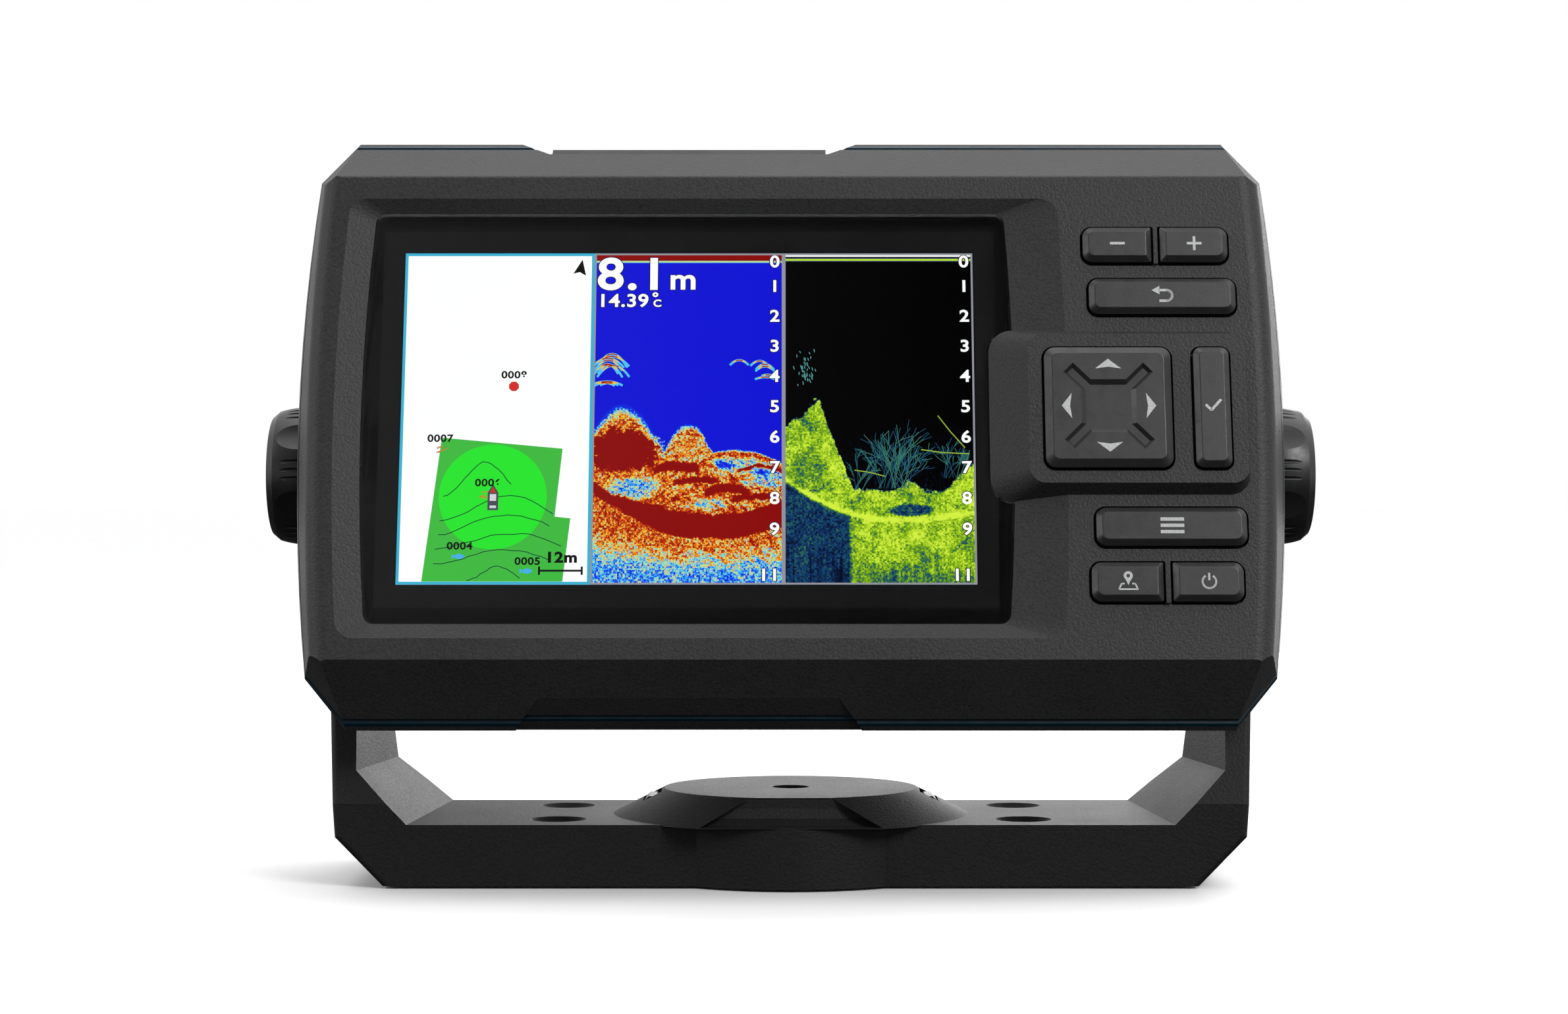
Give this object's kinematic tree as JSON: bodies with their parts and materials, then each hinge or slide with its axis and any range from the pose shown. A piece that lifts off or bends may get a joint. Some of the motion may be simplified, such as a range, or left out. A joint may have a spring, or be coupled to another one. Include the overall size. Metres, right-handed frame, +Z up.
{
  "type": "fish finder",
  "caption": "Marine fish finder: colour display head with keys and a direction pad, tilting in a U-shaped bail on a swivel base.",
  "frame": {"origin": "on the mounting surface, at the centre of the swivel base's screw circle, on the swivel axis", "axes": "+X to the user's right along the tilt axis, +Y away from the user, +Z up; rest pose has the face leaning back 14.4 degrees"},
  "size_m": [0.2034, 0.0712, 0.1428],
  "materials": {
    "case_plastic": "fine leather-grain moulded ABS, charcoal",
    "rear_plastic": "fine leather-grain moulded ABS, black",
    "accent_plastic": "moulded deep teal blue",
    "catch_plastic": "smooth grey satin",
    "seal_rubber": "matt",
    "cover_glass": "optically bonded, black printed border",
    "bond": "black foam tape",
    "display": "lit colour display",
    "tray_steel": "folded sheet",
    "flex": "amber polyimide",
    "circuit_board": "green solder mask",
    "chip": "moulded epoxy",
    "shield": "tinned sheet",
    "ceramic": "fired ceramic",
    "switch": "moulded",
    "membrane": "silicone",
    "key_plastic": "satin moulded key tops",
    "screw_steel": "stainless",
    "brass": "turned",
    "socket_plastic": "glass-filled nylon",
    "vent": "moulded vent",
    "bail_plastic": "glass-filled nylon, fine leather grain outside",
    "base_plastic": "glass-filled nylon",
    "latch_plastic": "acetal",
    "spring_steel": "spring temper",
    "knob_plastic": "satin moulded knob",
    "washer_nylon": "nylon"
  },
  "bodies": {
    "swivel_base": {"swivel_base": "base_plastic", "base_pad": "seal_rubber", "swivel_nut": "brass", "swivel_screw": "screw_steel", "swivel_washer": "screw_steel"},
    "bail": {"bail_bracket": "bail_plastic", "latch_tabs": "latch_plastic", "detent_spring": "spring_steel"},
    "head": {"front_case": "case_plastic", "rear_case": "rear_plastic", "accent_trim": "accent_plastic", "case_gasket": "seal_rubber", "cover_catch": "catch_plastic", "cover_glass": "cover_glass", "glass_bond": "bond", "display_panel": "display", "backlight": "tray_steel", "display_flex": "flex", "main_board": "circuit_board", "board_parts": "chip", "shield_can": "shield", "gps_antenna": "ceramic", "beeper": "chip", "keypad_board": "circuit_board", "key_switches": "switch", "keypad_membrane": "membrane", "power_socket": "socket_plastic", "transducer_socket": "socket_plastic", "socket_inserts": "chip", "socket_nuts": "brass", "vent_plug": "vent", "case_screws": "screw_steel", "board_screws": "screw_steel", "knob_inserts": "brass", "friction_washers": "seal_rubber"},
    "left_knob_washer": {"left_knob_washer": "washer_nylon"},
    "left_knob": {"left_knob": "knob_plastic", "left_knob_cap": "knob_plastic", "left_knob_stud": "brass"},
    "right_knob_washer": {"right_knob_washer": "washer_nylon"},
    "right_knob": {"right_knob": "knob_plastic", "right_knob_cap": "knob_plastic", "right_knob_stud": "brass"},
    "minus_key": {"minus_key": "key_plastic"},
    "plus_key": {"plus_key": "key_plastic"},
    "back_key": {"back_key": "key_plastic"},
    "select_key": {"select_key": "key_plastic"},
    "menu_key": {"menu_key": "key_plastic"},
    "waypoint_key": {"waypoint_key": "key_plastic"},
    "power_key": {"power_key": "key_plastic"},
    "pad_pivot": {"pad_pivot": "membrane"},
    "direction_pad": {"direction_pad": "key_plastic"}
  },
  "joints": [
    {"name": "bail_swivel", "type": "hinge", "parent": "swivel_base", "child": "bail", "pos_m": [0, 0, 0], "axis": [0, 0, 1], "continuous": true},
    {"name": "head_tilt", "type": "hinge", "parent": "bail", "child": "head", "pos_m": [0, 0, 0.0781], "axis": [-1, 0, 0], "range_deg": [-10, 45]},
    {"name": "left_knob_draw", "type": "slide", "parent": "head", "child": "left_knob_washer", "axis": [-1, 0, 0], "range_m": [0, 0.003]},
    {"name": "left_knob_turn", "type": "hinge", "parent": "left_knob_washer", "child": "left_knob", "pos_m": [-0.095, 0, 0.0781], "axis": [-1, 0, 0], "range_deg": [0, 1080]},
    {"name": "right_knob_draw", "type": "slide", "parent": "head", "child": "right_knob_washer", "axis": [1, 0, 0], "range_m": [0, 0.003]},
    {"name": "right_knob_turn", "type": "hinge", "parent": "right_knob_washer", "child": "right_knob", "pos_m": [0.095, 0, 0.0781], "axis": [1, 0, 0], "range_deg": [0, 1080]},
    {"name": "minus_press", "type": "slide", "parent": "head", "child": "minus_key", "axis": [0, 0.9686, -0.2487], "range_m": [0, 0.0008], "stiffness_N_per_m": 2500},
    {"name": "plus_press", "type": "slide", "parent": "head", "child": "plus_key", "axis": [0, 0.9686, -0.2487], "range_m": [0, 0.0008], "stiffness_N_per_m": 2500},
    {"name": "back_press", "type": "slide", "parent": "head", "child": "back_key", "axis": [0, 0.9686, -0.2487], "range_m": [0, 0.0008], "stiffness_N_per_m": 2500},
    {"name": "select_press", "type": "slide", "parent": "head", "child": "select_key", "axis": [0, 0.9686, -0.2487], "range_m": [0, 0.0008], "stiffness_N_per_m": 2500},
    {"name": "menu_press", "type": "slide", "parent": "head", "child": "menu_key", "axis": [0, 0.9686, -0.2487], "range_m": [0, 0.0008], "stiffness_N_per_m": 2500},
    {"name": "waypoint_press", "type": "slide", "parent": "head", "child": "waypoint_key", "axis": [0, 0.9686, -0.2487], "range_m": [0, 0.0008], "stiffness_N_per_m": 2500},
    {"name": "power_press", "type": "slide", "parent": "head", "child": "power_key", "axis": [0, 0.9686, -0.2487], "range_m": [0, 0.0008], "stiffness_N_per_m": 2500},
    {"name": "pad_rock_vertical", "type": "hinge", "parent": "head", "child": "pad_pivot", "pos_m": [0.05917, -0.0272, 0.08939], "axis": [1, 0, 0], "range_deg": [-3, 3], "stiffness_Nm_per_rad": 0.4},
    {"name": "pad_rock_sideways", "type": "hinge", "parent": "pad_pivot", "child": "direction_pad", "pos_m": [0.05917, -0.0272, 0.08939], "axis": [0, 0.2487, 0.9686], "range_deg": [-3, 3], "stiffness_Nm_per_rad": 0.4}
  ],
  "couplings": [
    {"joint": "left_knob_turn", "follows": "left_knob_draw", "rad_per_m": 6283.2},
    {"joint": "right_knob_turn", "follows": "right_knob_draw", "rad_per_m": 6283.2}
  ]
}
